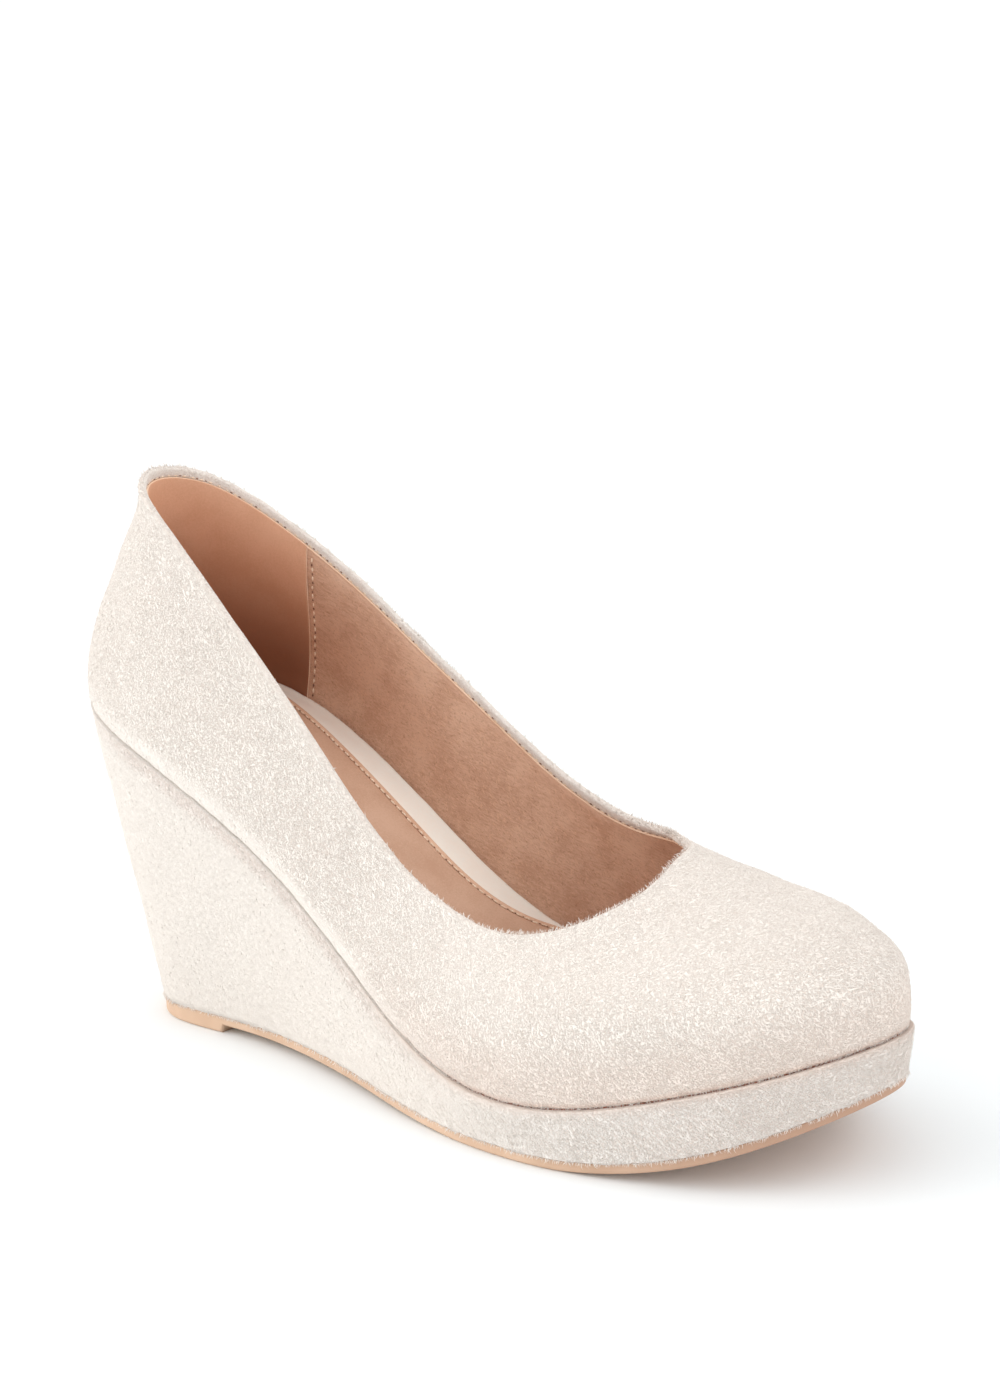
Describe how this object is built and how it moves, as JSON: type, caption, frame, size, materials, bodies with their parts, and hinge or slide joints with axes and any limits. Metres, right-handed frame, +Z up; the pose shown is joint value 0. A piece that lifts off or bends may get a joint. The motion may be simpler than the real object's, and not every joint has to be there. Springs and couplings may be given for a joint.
{
  "type": "wedge pump",
  "caption": "Closed-toe wedge pump with a low platform, a suede-covered upper and wedge, a padded sock lining and a thin outsole with a stepped heel pad.",
  "frame": {"origin": "on the floor, under the centre of the shoe's bounding box", "axes": "+X from heel to toe, +Y to the medial side of this right shoe, +Z up"},
  "size_m": [0.2306, 0.0888, 0.1363],
  "materials": {
    "outsole_rubber": "satin moulded rubber, tan",
    "wedge_suede": "short-napped faux suede, pale blush",
    "upper_suede": "short-napped faux suede, pale blush",
    "board_cover": "smooth pale cover",
    "sock_leather": "fine-grained tan synthetic leather",
    "lining": "matt tan lining with a light nap",
    "thread": "polyester sewing thread"
  },
  "bodies": {
    "root": {"outsole": "outsole_rubber", "wedge_platform": "wedge_suede", "upper": "upper_suede", "insole_board": "board_cover", "sock_lining": "sock_leather"}
  },
  "joints": []
}
